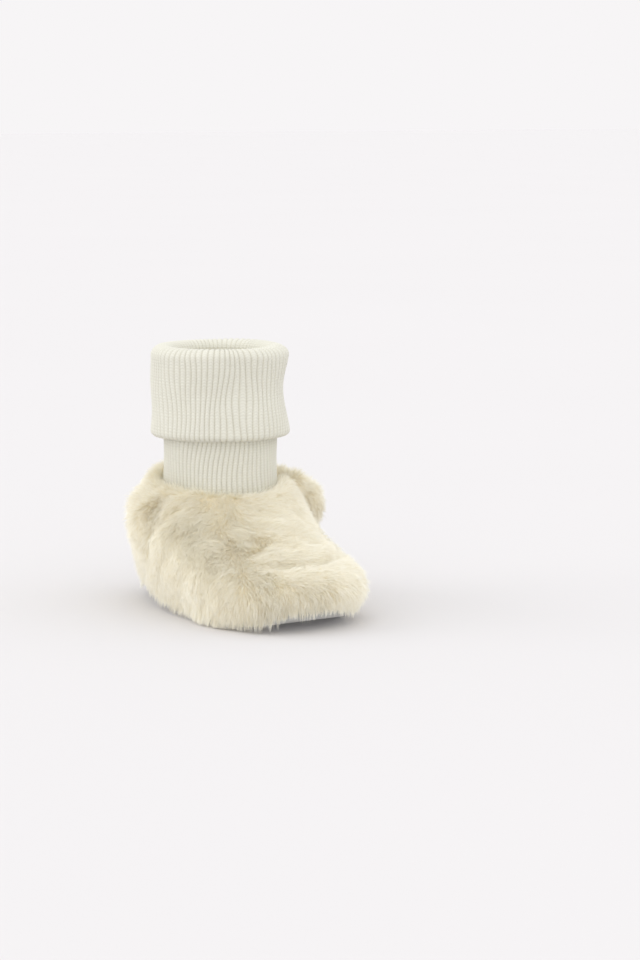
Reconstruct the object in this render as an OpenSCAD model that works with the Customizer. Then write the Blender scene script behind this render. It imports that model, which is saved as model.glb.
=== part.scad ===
// Baby bootie: a soft faux-fur upper on a suede sole, with a doubled rib-knit
// ankle tube whose top is turned down as a cuff.
// Millimetres, +Z up, toe along -Y, origin on the floor under the middle.

/* [Sole] */
// Length of the sole from heel to toe
sole_length = 104; // [90:1:130]
// Width of the sole where it is widest
sole_width = 56; // [47:1:69]
// Squareness of the sole's outline, where 2 is an ellipse
sole_squareness = 2.4; // [2:0.1:3]
// Share by which the sole is broader towards the toe and narrower towards the heel
toe_breadth = 0.09; // [0:0.01:0.15]
// Height by which the tip of the sole is lifted off the floor
toe_spring = 4.5; // [0:0.5:7]
// Length of the lifted stretch at the toe
toe_spring_length = 30; // [20:1:45]
// Thickness of the suede outsole
outsole_thickness = 1.2; // [0.8:0.1:2]
// Height of the outsole's turned-up edge
rim_height = 5; // [4:0.5:8]
// Thickness of the wadding inside the sole
padding_thickness = 3.1; // [2:0.1:5]
// Thickness of the insole
insole_thickness = 1.2; // [0.8:0.1:2]

/* [Upper] */
// Height of the collar at the instep
collar_height = 42; // [32:1:46]
// Height by which the collar is higher at the heel than at the instep
collar_rise = 8.5; // [0:1:12]
// Distance from the ankle's axis to the back end of the sole
heel_to_ankle = 33; // [30:1:42]
// Gap between the ankle tube and the middle of the collar's edge
collar_ease = 3.8; // [3.8:0.1:7]
// Depth of the fur pile at its fullest
fur_depth = 6.5; // [5:0.5:12]
// Share of the pile depth that is left at the collar and at the sole
edge_share = 0.7; // [0.5:0.05:1]
// Thickness of the lining
lining_thickness = 1.2; // [0.6:0.1:2]
// Angle from the toe at which the front panel meets the heel panel at the sole
sole_half_angle = 100; // [85:1:120]
// Angle from the toe at which the front panel meets the heel panel at the collar
collar_half_angle = 72; // [60:1:100]
// Distance by which the toe bulges over the instep line
toe_bulge = 18; // [14:1:28]
// Height to which the toe rises steeply from the sole's edge
toe_rise = 10.5; // [8:0.5:16]
// Steepness of the instep below the collar
instep_drop = 19.5; // [14:0.5:24]
// Distance by which the heel bulges below the collar
heel_bulge = 4.5; // [2:0.5:8]
// Steepness of the heel below the collar
heel_drop = 12; // [8:0.5:16]
// Distance by which the upper leans out over the sole's edge
edge_flare = 4.5; // [2:0.5:7]

/* [Ankle] */
// Inside diameter of the ankle tube
opening_d = 39.2; // [33:0.2:47]
// Thickness of the inner ply of rib knit
inner_ply = 0.8; // [0.6:0.1:1.2]
// Thickness of the outer ply of rib knit
outer_ply = 1.1; // [0.8:0.1:1.6]
// Length of ankle tube that shows between the collar and the cuff
ankle_show = 14.5; // [10:0.5:24]

/* [Cuff] */
// Height of the turned-down cuff
cuff_height = 35; // [25:0.5:50]
// Thickness of the cuff's outer ply
cuff_face_ply = 1.7; // [1.2:0.1:2.5]
// Thickness of the cuff's hidden ply
cuff_under_ply = 1.6; // [1:0.1:2.5]
// Thickness of the fold that covers the top of the ankle tube
rim_fold = 2; // [1.4:0.1:3]

/* [Seams] */
// Width of the stitched strip between the fur panels
side_seam_width = 1.6; // [1:0.1:3]
// Height of the stitched band inside the collar
collar_seam_height = 4; // [2:0.5:6]
// Thickness of the stitched band inside the collar
collar_seam_ply = 0.6; // [0.4:0.1:0.8]
// Width of the seam down the back of the ankle tube
rib_seam_width = 5; // [3:0.5:8]
// Number of stitches around the sole
stitch_count = 72; // [40:1:90]
// Length of one stitch
stitch_length = 2; // [1:0.1:2.4]
// Thickness of the sewing thread
thread_d = 0.7; // [0.4:0.1:1]

/* [Clearances] */
// Gap between layers that lie on each other
lay_gap = 0.05; // [0.02:0.01:0.2]
// Gap between panel edges that are sewn side by side
edge_gap = 0.3; // [0.2:0.05:0.6]
// Gap between the plies of the ankle tube and of the cuff
ply_gap = 0.5; // [0.3:0.05:0.8]
// Gap between the ankle tube and the stitched band inside the collar
tilt_gap = 1.5; // [1.4:0.1:2.5]

/* [Hidden] */

$fn = 72;
outline_points = 96;
spring_steps = 10;

// Heights
padding_z = outsole_thickness + lay_gap;
insole_z = padding_z + padding_thickness + lay_gap;
collar_back = collar_height + collar_rise;
cuff_bottom = collar_back + ankle_show;
cuff_top = cuff_bottom + cuff_height;
tube_bottom = collar_height - 1;
tube_top = cuff_top - rim_fold - 0.6;

// Radii around the ankle's axis, from the inside out
opening_r = opening_d / 2;
outer_ply_r = opening_r + inner_ply + ply_gap;
tube_r = outer_ply_r + outer_ply;
cuff_under_r = tube_r + ply_gap;
cuff_face_r = cuff_under_r + cuff_under_ply + 0.1;
cuff_r = cuff_face_r + cuff_face_ply;
collar_seam_r = tube_r + tilt_gap;
collar_r = tube_r + collar_ease;
collar_tilt = atan(collar_rise / (2 * collar_r));

// The ankle's axis, measured from the middle of the sole
ankle_y = sole_length / 2 - heel_to_ankle;

// ---- The sole's outline and its underside ----

// A point of the outline: a is 0 at the toe and 180 at the heel
function outline(a, inset = 0) =
    let (power = 2 / sole_squareness)
    [(sole_width / 2 - inset) * sign(sin(a)) * pow(abs(sin(a)), power) * (1 + toe_breadth * cos(a)),
     -(sole_length / 2 - inset) * sign(cos(a)) * pow(abs(cos(a)), power)];

// Height of the sole's underside above the floor
function ground(y) =
    let (lifted = toe_spring_length - sole_length / 2 - y)
    lifted > 0 ? toe_spring * pow(lifted / toe_spring_length, 2) : 0;

// Length along the outline against the angle, and the angle after a given length
outline_run = [for (i = 0, run = 0; i <= 360; run = run + norm(outline(i + 1) - outline(i)), i = i + 1) [run, i]];
perimeter = outline_run[360][0];
function angle_after(run) = lookup(run, outline_run);

// ---- The upper's middle surface ----

function mix(a, b, share) = a + (b - a) * share;
function unit(v) = v / norm(v);
function outwards(a, out, up) = [out * sin(a), -out * cos(a), up];

function bezier(p, s) =
    pow(1 - s, 3) * p[0] + 3 * s * pow(1 - s, 2) * p[1] + 3 * s * s * (1 - s) * p[2] + pow(s, 3) * p[3];

// A point of the upper: s runs from 0 at the sole's edge to 1 at the collar
function upper(a, s) =
    let (
        toe = (1 + cos(a)) / 2,
        foot = outline(a),
        start = [foot.x, foot.y, ground(foot.y) + rim_height + lay_gap],
        end = [0, ankle_y, mix(collar_back, collar_height, toe)] + outwards(a, collar_r, 0),
        rise = mix((end.z - start.z) / 2, toe_rise, toe * toe),
        bulge = mix(heel_bulge, toe_bulge, toe * toe),
        drop = mix(heel_drop, instep_drop, toe * toe)
    )
    bezier([start,
            start + outwards(a, edge_flare, rise),
            end + outwards(a, bulge, -drop),
            end], s);

function along(a, s) = unit(upper(a + 0.5, s) - upper(a - 0.5, s));
function upwards(a, s) = upper(a, min(s + 0.01, 1)) - upper(a, max(s - 0.01, 0));
function facing(a, s) = unit(cross(along(a, s), upwards(a, s)));

// A point off the upper's middle surface: depth outwards, shift along the sole's edge
function off_upper(a, s, depth, shift) = upper(a, s) + depth * facing(a, s) + shift * along(a, s);

// Pile depth from the sole's edge to the collar
function pile(s) = fur_depth * mix(edge_share, 1, sin(180 * s));

// Front and back ends of the fur, to stand the bootie over the origin
fur_front = min([for (s = [0:0.05:1]) off_upper(0, s, pile(s), 0).y]);
fur_back = max([for (s = [0:0.05:1]) off_upper(180, s, pile(s), 0).y]);
middle_y = (fur_front + fur_back) / 2;

// ---- Building blocks ----

// Stands the bootie over the origin
module placed() {
    translate([0, -middle_y, 0]) children();
}

// The part of a flat block that has the sole's outline and follows its underside
module sole_layer(inset, bottom, top) {
    toe_y = -sole_length / 2;
    ys = [for (i = [0:spring_steps]) toe_y - 1 + (toe_spring_length + 1) * i / spring_steps];
    ends = concat(ys, [sole_length / 2 + 1]);
    intersection() {
        linear_extrude(height = toe_spring * 2 + top + 1)
            polygon([for (i = [0:outline_points - 1]) outline(360 * i / outline_points, inset)]);
        rotate([90, 0, 90])
            linear_extrude(height = sole_width * 1.5, center = true)
                polygon(concat([for (y = ends) [y, ground(y) + bottom]],
                               [for (i = [len(ends) - 1:-1:0]) [ends[i], ground(ends[i]) + top]]));
    }
}

// The angles between which each panel lies at a height s
function seam_angle(s) = mix(sole_half_angle, collar_half_angle, s * s);
vamp_span = function(s) [-seam_angle(s), seam_angle(s)];
quarter_span = function(s) [seam_angle(s), 360 - seam_angle(s)];
left_span = function(s) [-seam_angle(s), -seam_angle(s)];
right_span = function(s) [seam_angle(s), seam_angle(s)];

// A curved panel of the upper over a span of angles and between two depths. fur
// makes its outer side follow the pile; shift moves both side edges inwards.
module panel(span, columns, rows, shift, inner, outer, fur = false) {
    grid = (columns + 1) * (rows + 1);
    function at(side, i, j) = side * grid + i * (rows + 1) + j;
    function nudge(i) = i == 0 ? shift : i == columns ? -shift : 0;
    function depth(side, s) = side == 0 ? inner : fur ? pile(s) : outer;
    function angle(i, s) = mix(span(s)[0], span(s)[1], i / columns);
    points = [for (side = [0, 1]) for (i = [0:columns]) for (j = [0:rows])
        off_upper(angle(i, j / rows), j / rows, depth(side, j / rows), nudge(i))];
    sides = [for (i = [0:columns - 1]) for (j = [0:rows - 1]) each [
        [at(0, i, j), at(0, i + 1, j + 1), at(0, i, j + 1)],
        [at(0, i, j), at(0, i + 1, j), at(0, i + 1, j + 1)],
        [at(1, i, j), at(1, i, j + 1), at(1, i + 1, j + 1)],
        [at(1, i, j), at(1, i + 1, j + 1), at(1, i + 1, j)]]];
    ends = [for (j = [0:rows - 1]) each [
        [at(0, 0, j), at(0, 0, j + 1), at(1, 0, j + 1)],
        [at(0, 0, j), at(1, 0, j + 1), at(1, 0, j)],
        [at(0, columns, j), at(1, columns, j + 1), at(0, columns, j + 1)],
        [at(0, columns, j), at(1, columns, j), at(1, columns, j + 1)]]];
    edges = [for (i = [0:columns - 1]) each [
        [at(0, i, 0), at(1, i, 0), at(1, i + 1, 0)],
        [at(0, i, 0), at(1, i + 1, 0), at(0, i + 1, 0)],
        [at(0, i, rows), at(1, i + 1, rows), at(1, i, rows)],
        [at(0, i, rows), at(0, i + 1, rows), at(1, i + 1, rows)]]];
    polyhedron(points, concat(sides, ends, edges));
}

// A strip of stitching on the upper, where two panels meet
module seam_strip(span) {
    panel(span, 1, 14, -side_seam_width / 2, lay_gap, thread_d * 3);
}

// A tube around the ankle's axis
module tube(inside_r, wall, bottom, top) {
    translate([0, ankle_y, bottom]) difference() {
        cylinder(h = top - bottom, r = inside_r + wall);
        translate([0, 0, -1]) cylinder(h = top - bottom + 2, r = inside_r);
    }
}

// A quarter circle of points around a corner
function corner(x, z, r, from) = [for (i = [0:6]) [x + r * cos(from + 15 * i), z + r * sin(from + 15 * i)]];

// ---- Sub-parts: sole ----

module outsole() {
    color("#c3c1bb") placed() difference() {
        sole_layer(0, 0, rim_height);
        sole_layer(outsole_thickness, outsole_thickness, rim_height + 1);
    }
}

module sole_stitching() {
    radius = thread_d / 2;
    color("#ece8da") placed()
        for (i = [0:stitch_count - 1]) {
            a = angle_after(perimeter * i / stitch_count);
            spot = outline(a, -radius - lay_gap);
            run = outline(a + 1) - outline(a - 1);
            translate([spot.x, spot.y, ground(spot.y) + rim_height - thread_d])
                rotate([0, 90, atan2(run.y, run.x)])
                    cylinder(h = stitch_length, r = radius, center = true, $fn = 16);
        }
}

module sole_padding() {
    color("#efece2") placed()
        sole_layer(outsole_thickness + 2 * lay_gap, padding_z, padding_z + padding_thickness);
}

module insole() {
    color("#e3dcc6") placed()
        sole_layer(outsole_thickness + lining_thickness, insole_z, insole_z + insole_thickness);
}

// ---- Sub-parts: upper ----

module vamp_lining() {
    color("#e6e0cc") placed()
        panel(vamp_span, 20, 8, edge_gap / 2, -edge_gap - lining_thickness, -edge_gap);
}

module quarter_lining() {
    color("#e6e0cc") placed()
        panel(quarter_span, 18, 8, edge_gap / 2, -edge_gap - lining_thickness, -edge_gap);
}

module vamp_fur() {
    color("#dcd5bf") placed()
        panel(vamp_span, 26, 12, side_seam_width / 2 + edge_gap, 0, fur_depth, fur = true);
}

module quarter_fur() {
    color("#d8d0b8") placed()
        panel(quarter_span, 24, 12, side_seam_width / 2 + edge_gap, 0, fur_depth, fur = true);
}

module left_side_seam() {
    color("#ece8da") placed() seam_strip(left_span);
}

module right_side_seam() {
    color("#ece8da") placed() seam_strip(right_span);
}

module collar_seam() {
    color("#ece8da") placed()
        translate([0, ankle_y, collar_height + collar_rise / 2])
            rotate([collar_tilt, 0, 0])
                translate([0, 0, -collar_seam_height - edge_gap]) difference() {
                    cylinder(h = collar_seam_height, r = collar_seam_r + collar_seam_ply);
                    translate([0, 0, -1]) cylinder(h = collar_seam_height + 2, r = collar_seam_r);
                }
}

// ---- Sub-parts: ankle ----

module ankle_rib_inner() {
    color("#e3dcc6") placed() tube(opening_r, inner_ply, tube_bottom, tube_top);
}

module ankle_rib_outer() {
    color("#d8d3c4") placed() tube(outer_ply_r, outer_ply, tube_bottom, tube_top);
}

module rib_back_seam() {
    color("#ece8da") placed() intersection() {
        tube(opening_r + inner_ply + lay_gap, ply_gap - 2 * lay_gap, tube_bottom, tube_top);
        translate([-rib_seam_width / 2, ankle_y, 0]) cube([rib_seam_width, tube_r, tube_top + 1]);
    }
}

// ---- Sub-parts: cuff ----

module cuff_under() {
    color("#d8d3c4") placed() tube(cuff_under_r, cuff_under_ply, cuff_bottom + 0.5, cuff_top - rim_fold - 0.1);
}

module cuff_face() {
    lip = rim_fold / 2;
    fold = cuff_face_ply / 2;
    color("#d8d3c4") placed()
        translate([0, ankle_y, 0]) rotate_extrude() polygon(concat(
            [[opening_r, cuff_top - rim_fold], [cuff_face_r, cuff_top - rim_fold]],
            corner(cuff_face_r + fold, cuff_bottom + fold, fold, 180),
            corner(cuff_r - fold, cuff_bottom + fold, fold, 270),
            corner(cuff_r - rim_fold, cuff_top - rim_fold, rim_fold, 0),
            corner(opening_r + lip, cuff_top - lip, lip, 90)));
}

outsole();
sole_stitching();
sole_padding();
insole();
vamp_lining();
quarter_lining();
vamp_fur();
quarter_fur();
left_side_seam();
right_side_seam();
collar_seam();
ankle_rib_inner();
ankle_rib_outer();
rib_back_seam();
cuff_under();
cuff_face();
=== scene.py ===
"""A baby bootie: plush upper, suede sole, doubled rib-knit ankle tube and a turned-down cuff.

Lengths are millimetres until make_mesh turns them into metres. Angles around the bootie are
radians from the toe, which points along -Y. A height s on the upper runs from 0 at the
sole's edge to 1 at the collar.
"""

import math

import bmesh
import bpy
import numpy as np
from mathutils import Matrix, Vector, kdtree


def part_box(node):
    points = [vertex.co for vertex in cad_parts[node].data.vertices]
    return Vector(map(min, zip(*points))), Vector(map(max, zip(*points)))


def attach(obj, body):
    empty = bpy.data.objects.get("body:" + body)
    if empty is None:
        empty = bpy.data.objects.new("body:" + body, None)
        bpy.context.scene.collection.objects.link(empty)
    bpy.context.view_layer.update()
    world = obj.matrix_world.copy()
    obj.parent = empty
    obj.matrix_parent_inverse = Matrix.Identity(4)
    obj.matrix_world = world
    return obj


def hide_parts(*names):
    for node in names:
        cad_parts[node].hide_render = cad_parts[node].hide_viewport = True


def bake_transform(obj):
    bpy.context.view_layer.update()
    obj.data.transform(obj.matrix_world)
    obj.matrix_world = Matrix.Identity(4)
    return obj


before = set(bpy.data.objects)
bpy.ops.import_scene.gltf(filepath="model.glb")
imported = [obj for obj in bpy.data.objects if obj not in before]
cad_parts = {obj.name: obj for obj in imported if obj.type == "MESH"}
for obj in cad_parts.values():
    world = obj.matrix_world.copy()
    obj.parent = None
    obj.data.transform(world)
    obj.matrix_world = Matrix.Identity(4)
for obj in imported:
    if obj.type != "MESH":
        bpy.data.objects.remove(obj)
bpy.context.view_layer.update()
MM = 0.001
FULL = 2 * math.pi

# ---- Sizes taken from the frame ----


def box_mm(node):
    """The lowest and highest corners of a CAD node, in millimetres."""
    low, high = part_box(node)
    return np.array(low) / MM, np.array(high) / MM


SOLE_LOW, SOLE_HIGH = box_mm("outsole")
SOLE_LENGTH = SOLE_HIGH[1] - SOLE_LOW[1]
SOLE_Y = (SOLE_HIGH[1] + SOLE_LOW[1]) / 2
TUBE_LOW, TUBE_HIGH = box_mm("ankle_rib_outer")
TUBE_R = (TUBE_HIGH[0] - TUBE_LOW[0]) / 2
ANKLE_Y = (TUBE_HIGH[1] + TUBE_LOW[1]) / 2
INNER_LOW, INNER_HIGH = box_mm("ankle_rib_inner")
INNER_R = (INNER_HIGH[0] - INNER_LOW[0]) / 2 - 0.8
LIP_R = INNER_R - 2.4
CUFF_LOW, CUFF_HIGH = box_mm("cuff_face")
CUFF_R = (CUFF_HIGH[0] - CUFF_LOW[0]) / 2
COLLAR_FRONT = TUBE_LOW[2] + 1

# Sizes of the pattern that the frame's boxes don't say. The number of ribs was chosen for a
# spacing of about 2.25 mm round the cuff.
SOLE_WIDTH = 56.0
SQUARENESS = 2.4
TOE_BREADTH = 0.09
TOE_SPRING = 4.5
SPRING_LENGTH = 30.0
RIM_HEIGHT = 5.0
RIM_WALL = 1.2
COLLAR_RISE = 8.5
COLLAR_REACH = TUBE_R + 3.2
SEAM_AT_SOLE = math.radians(100)
SEAM_AT_COLLAR = math.radians(72)
RIBS = 72


# ---- Camera ----

CAMERA_AZIMUTH = math.radians(-32.0)
CAMERA_ELEVATION = math.radians(8.4)
CAMERA_DISTANCE = 0.987
HALF_FIELD = math.radians(10.5)
AIM_RIGHT, AIM_UP = 0.0285, 0.0495


def make_camera():
    right = Vector((math.cos(CAMERA_AZIMUTH), math.sin(CAMERA_AZIMUTH), 0))
    back = Vector((
        math.sin(CAMERA_AZIMUTH) * math.cos(CAMERA_ELEVATION),
        -math.cos(CAMERA_AZIMUTH) * math.cos(CAMERA_ELEVATION),
        math.sin(CAMERA_ELEVATION),
    ))
    aim = right * AIM_RIGHT + Vector((0, SOLE_Y * MM, AIM_UP))
    data = bpy.data.cameras.new("camera")
    data.sensor_width = 36
    data.lens = data.sensor_width / 2 / math.tan(HALF_FIELD)
    camera = bpy.data.objects.new("camera", data)
    bpy.context.collection.objects.link(camera)
    camera.location = aim + back * CAMERA_DISTANCE
    camera.rotation_euler = back.to_track_quat("Z", "Y").to_euler()
    bpy.context.scene.camera = camera


make_camera()


# ---- Materials ----


class Socket:
    """A value in a material. Python's operators on it add Math nodes."""

    def __init__(self, shader, link):
        self.shader, self.link = shader, link

    def maths(self, operation, *values):
        return self.shader.node("ShaderNodeMath", {"operation": operation}, dict(enumerate(values)))

    def __add__(self, other):
        return self.maths("ADD", self, other)

    def __sub__(self, other):
        return self.maths("SUBTRACT", self, other)

    def __rsub__(self, other):
        return self.maths("SUBTRACT", other, self)

    def __mul__(self, other):
        return self.maths("MULTIPLY", self, other)

    def __pow__(self, other):
        return self.maths("POWER", self, other)

    def __abs__(self):
        return self.maths("ABSOLUTE", self)

    __radd__ = __add__
    __rmul__ = __mul__

    def sine(self):
        return self.maths("SINE", self)

    def fraction(self):
        return self.maths("FRACT", self)

    def clamped(self):
        return self.maths("MAXIMUM", self.maths("MINIMUM", self, 1.0), 0.0)


class NodeTree:
    """The nodes of a material or of the sky, which are all added by one method."""

    def __init__(self, tree):
        self.tree = tree

    def node(self, kind, settings=None, inputs=None, output=0):
        """Adds a node, with its settings first, and gives one of its outputs."""
        node = self.tree.nodes.new(kind)
        for key, value in (settings or {}).items():
            if key == "stops":
                self.set_stops(node.color_ramp, value)
            else:
                setattr(node, key, value)
        for key, value in (inputs or {}).items():
            self.put(node.inputs[key], value)
        return Socket(self, node.outputs[output])

    def set_stops(self, ramp, stops):
        while len(ramp.elements) < len(stops):
            ramp.elements.new(1.0)
        for element, (position, colour) in zip(ramp.elements, stops):
            element.position, element.color = position, colour

    def put(self, socket, value):
        if isinstance(value, Socket):
            self.tree.links.new(value.link, socket)
        else:
            socket.default_value = value


class Shader(NodeTree):
    """A material under way: a Principled shader and the nodes that feed it."""

    def __init__(self, name, **constants):
        self.material = bpy.data.materials.new(name)
        self.material.use_nodes = True
        super().__init__(self.material.node_tree)
        self.surface = self.tree.nodes["Principled BSDF"]
        for key, value in constants.items():
            socket = key.replace("_", " ").title().replace("Ior", "IOR")
            self.surface.inputs[socket].default_value = value

    def feed(self, name, value):
        self.put(self.surface.inputs[name], value)

    def map_parts(self):
        """The two coordinates of the piece's own map, both from 0 to 1."""
        place = self.node("ShaderNodeUVMap", {"uv_map": "OFBake"})
        across = self.node("ShaderNodeSeparateXYZ", inputs={"Vector": place})
        along = Socket(self, across.link.node.outputs[1])
        return across, along

    def place(self, scale):
        """Position on the piece in its own space, in units of scale millimetres."""
        spot = self.node("ShaderNodeTexCoord", output=3)
        per_unit = 1 / (scale * MM)
        return self.node("ShaderNodeVectorMath", {"operation": "SCALE"}, {0: spot, "Scale": per_unit})

    def noise(self, where, detail=2.0, roughness=0.5):
        return self.node("ShaderNodeTexNoise", inputs={
            "Vector": where, "Scale": 1.0, "Detail": detail, "Roughness": roughness})

    def mixed(self, share, first, second):
        return self.node("ShaderNodeMix", {"data_type": "RGBA"}, {0: share, 6: first, 7: second}, output=2)

    def ramp(self, share, *stops):
        return self.node("ShaderNodeValToRGB", {"stops": stops}, {"Fac": share})

    def bump(self, height, distance, strength):
        """Raises the surface by height times distance millimetres."""
        normal = self.node("ShaderNodeBump", inputs={
            "Height": height, "Distance": distance * MM, "Strength": strength})
        self.feed("Normal", normal)


def rgb(red, green, blue):
    """A colour given as it looks on a screen, from 0 to 255, in linear light."""
    parts = [value / 255 for value in (red, green, blue)]
    return (*[p / 12.92 if p <= 0.04045 else ((p + 0.055) / 1.055) ** 2.4 for p in parts], 1.0)


def fibre_material(name, root, middle, tip, warm):
    """Loose fibres. The map's first part picks a strand's shade, the second runs from root to tip."""
    shader = Shader(name, roughness=0.85, specular_ior_level=0.15)
    shade, along = shader.map_parts()
    # The roots are darker and warmer than the middle: painted shade deep in the pile. The tips are a little
    # darker than the middle: painted shade that tones down the flanks, where the tips show.
    pale = shader.ramp(along, (0.0, root), (0.4, middle), (0.9, tip))
    yellow = shader.ramp(along, (0.0, root), (0.5, warm), (1.0, middle))
    fleck = shader.noise(shader.node("ShaderNodeCombineXYZ", inputs={0: shade * 90.0, 1: along * 3.0}))
    share = (shade * 0.8 + fleck * 0.5 - 0.15).clamped()
    colour = shader.mixed(share, yellow, pale)
    shader.feed("Base Color", colour)
    shader.feed("Roughness", 0.72 + fleck * 0.16)
    return shader.material


def undercoat_material(name, deep, pale):
    """The dense short pile between the long fibres."""
    shader = Shader(name, roughness=0.9, specular_ior_level=0.15, sheen_weight=0.2)
    coarse = shader.noise(shader.place(2.2), 3.0, 0.6)
    fine = shader.noise(shader.place(0.35), 3.0, 0.7)
    shader.feed("Base Color", shader.mixed((coarse * 0.9 + fine * 0.5 - 0.2).clamped(), deep, pale))
    shader.feed("Roughness", 0.82 + fine * 0.14)
    shader.bump(fine, 0.5, 0.8)
    return shader.material


def knit_material(name, ridge, groove, ribs, rows):
    """Rib knit: columns of small V stitches on the ridges, with a darker line of painted shade between the
    ribs.
    """
    shader = Shader(name, roughness=0.85, specular_ior_level=0.2, sheen_weight=0.3, sheen_roughness=0.4)
    across, along = shader.map_parts()
    offset = abs((across * float(ribs)).fraction() - 0.5) * 2.0
    stitch = ((along * float(rows) + offset * 0.55) * FULL).sine() * 0.5 + 0.5
    yarn = shader.noise(shader.place(0.5), 3.0, 0.65)
    cloud = shader.noise(shader.place(9.0), 2.0, 0.5)
    # Painted shade: darker in the grooves between the ribs and in the dips between the stitches; the yarn
    # and cloud noise is the yarn's own uneven tone.
    depth = offset ** 5.0 * 0.4 + (1.0 - stitch) * 0.12 + yarn * 0.16 + cloud * 0.12 - 0.06
    shader.feed("Base Color", shader.mixed(depth.clamped(), ridge, groove))
    shader.feed("Roughness", 0.78 + yarn * 0.16)
    shader.bump(stitch * (1.0 - offset ** 3.0) * 0.7 + yarn * 0.5, 0.16, 0.9)
    return shader.material


def jersey_material(name, colour, deep):
    """Fine brushed jersey: a soft even nap over very small stitches."""
    shader = Shader(name, roughness=0.92, specular_ior_level=0.15, sheen_weight=0.35, sheen_roughness=0.5)
    nap = shader.noise(shader.place(0.45), 3.0, 0.7)
    cloud = shader.noise(shader.place(6.0), 2.0, 0.5)
    shader.feed("Base Color", shader.mixed((nap * 0.6 + cloud * 0.4 - 0.2).clamped(), colour, deep))
    shader.feed("Roughness", 0.84 + nap * 0.12)
    shader.bump(nap, 0.3, 0.8)
    return shader.material


def suede_material(name, colour, dark, pale):
    """Suede: a matt nap with brushed patches and faint scuffs."""
    shader = Shader(name, roughness=0.9, specular_ior_level=0.2, sheen_weight=0.4, sheen_roughness=0.35)
    patch = shader.noise(shader.place(7.0), 4.0, 0.6)
    grain = shader.noise(shader.place(0.4), 4.0, 0.7)
    brushed = shader.mixed((patch * 1.6 - 0.35).clamped(), dark, colour)
    shader.feed("Base Color", shader.mixed((grain * 0.9 - 0.25).clamped(), brushed, pale))
    shader.feed("Roughness", 0.8 + patch * 0.15)
    shader.bump(grain * 0.8 + patch * 0.4, 0.22, 0.8)
    return shader.material


def thread_material(name, colour, deep):
    """Twisted sewing thread. The map's second part runs along the thread."""
    shader = Shader(name, roughness=0.7, specular_ior_level=0.3, sheen_weight=0.3)
    across, along = shader.map_parts()
    twist = ((along * 9.0 + across * 2.0) * FULL).sine() * 0.5 + 0.5
    shader.feed("Base Color", shader.mixed(twist * 0.5, colour, deep))
    shader.feed("Roughness", 0.62 + twist * 0.15)
    shader.bump(twist, 0.06, 0.8)
    return shader.material


def floor_material():
    shader = Shader("studio_floor", roughness=0.9, specular_ior_level=0.0)
    cloud = shader.noise(shader.place(300.0))
    shader.feed("Base Color", shader.mixed(cloud, FLOOR_PALE, FLOOR_DEEP))
    return shader.material


FLOOR_PALE, FLOOR_DEEP = (0.694, 0.680, 0.687, 1.0), (0.684, 0.670, 0.677, 1.0)
# The groove colours are painted shade for the knit's grooves.
CREAM, CREAM_GROOVE_SHADE = rgb(224, 223, 212), rgb(172, 165, 142)
INSIDE, INSIDE_GROOVE_SHADE = rgb(244, 239, 219), rgb(210, 199, 164)
# The fibres' root colour is painted shade deep in the pile, and their tip colour, a little darker than the
# middle, is painted shade for the flanks.
FIBRE_ROOT_SHADE, FIBRE_MIDDLE = rgb(238, 230, 205), rgb(247, 245, 235)
FIBRE_TIP, FIBRE_WARM = rgb(241, 239, 229), rgb(225, 216, 189)

FIBRES = fibre_material("plush_fibres", FIBRE_ROOT_SHADE, FIBRE_MIDDLE, FIBRE_TIP, FIBRE_WARM)
UNDERCOAT = undercoat_material("plush_undercoat", rgb(242, 232, 205), rgb(249, 244, 227))
RIB_KNIT = knit_material("rib_knit", CREAM, CREAM_GROOVE_SHADE, RIBS, 62)
INSIDE_KNIT = knit_material("rib_knit_inside", INSIDE, INSIDE_GROOVE_SHADE, RIBS * 2, 30)
JERSEY = jersey_material("jersey_lining", rgb(238, 232, 212), rgb(206, 194, 162))
WADDING = jersey_material("sole_wadding", rgb(240, 237, 228), rgb(216, 210, 194))
SUEDE = suede_material("suede", rgb(200, 201, 198), rgb(176, 177, 176), rgb(218, 218, 214))
THREAD = thread_material("thread", rgb(232, 227, 212), rgb(196, 188, 164))


# ---- Meshes ----


def make_mesh(name, points, faces, material, maps, smooth=True):
    """A mesh from points in millimetres. faces is a list of arrays, one for each number of
    corners, and maps is a like list of each corner's place on the piece's map."""
    mesh = bpy.data.meshes.new(name)
    sizes = np.concatenate([np.full(len(part), part.shape[1], np.int32) for part in faces])
    corners = np.concatenate([part.ravel() for part in faces]).astype(np.int32)
    mesh.vertices.add(len(points))
    mesh.vertices.foreach_set("co", (np.asarray(points) * MM).astype(np.float32).ravel())
    mesh.loops.add(len(corners))
    mesh.loops.foreach_set("vertex_index", corners)
    mesh.polygons.add(len(sizes))
    starts = np.concatenate([[0], np.cumsum(sizes)[:-1]])
    mesh.polygons.foreach_set("loop_start", starts.astype(np.int32))
    mesh.polygons.foreach_set("loop_total", sizes)
    mesh.update(calc_edges=True)
    mesh.polygons.foreach_set("use_smooth", np.full(len(sizes), smooth))
    layer = mesh.uv_layers.new(name="OFBake")
    places = np.concatenate([part.reshape(-1, 2) for part in maps])
    layer.data.foreach_set("uv", places.astype(np.float32).ravel())
    mesh.validate()
    mesh.materials.append(material)
    piece = bpy.data.objects.new(name, mesh)
    bpy.context.collection.objects.link(piece)
    return piece


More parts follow.
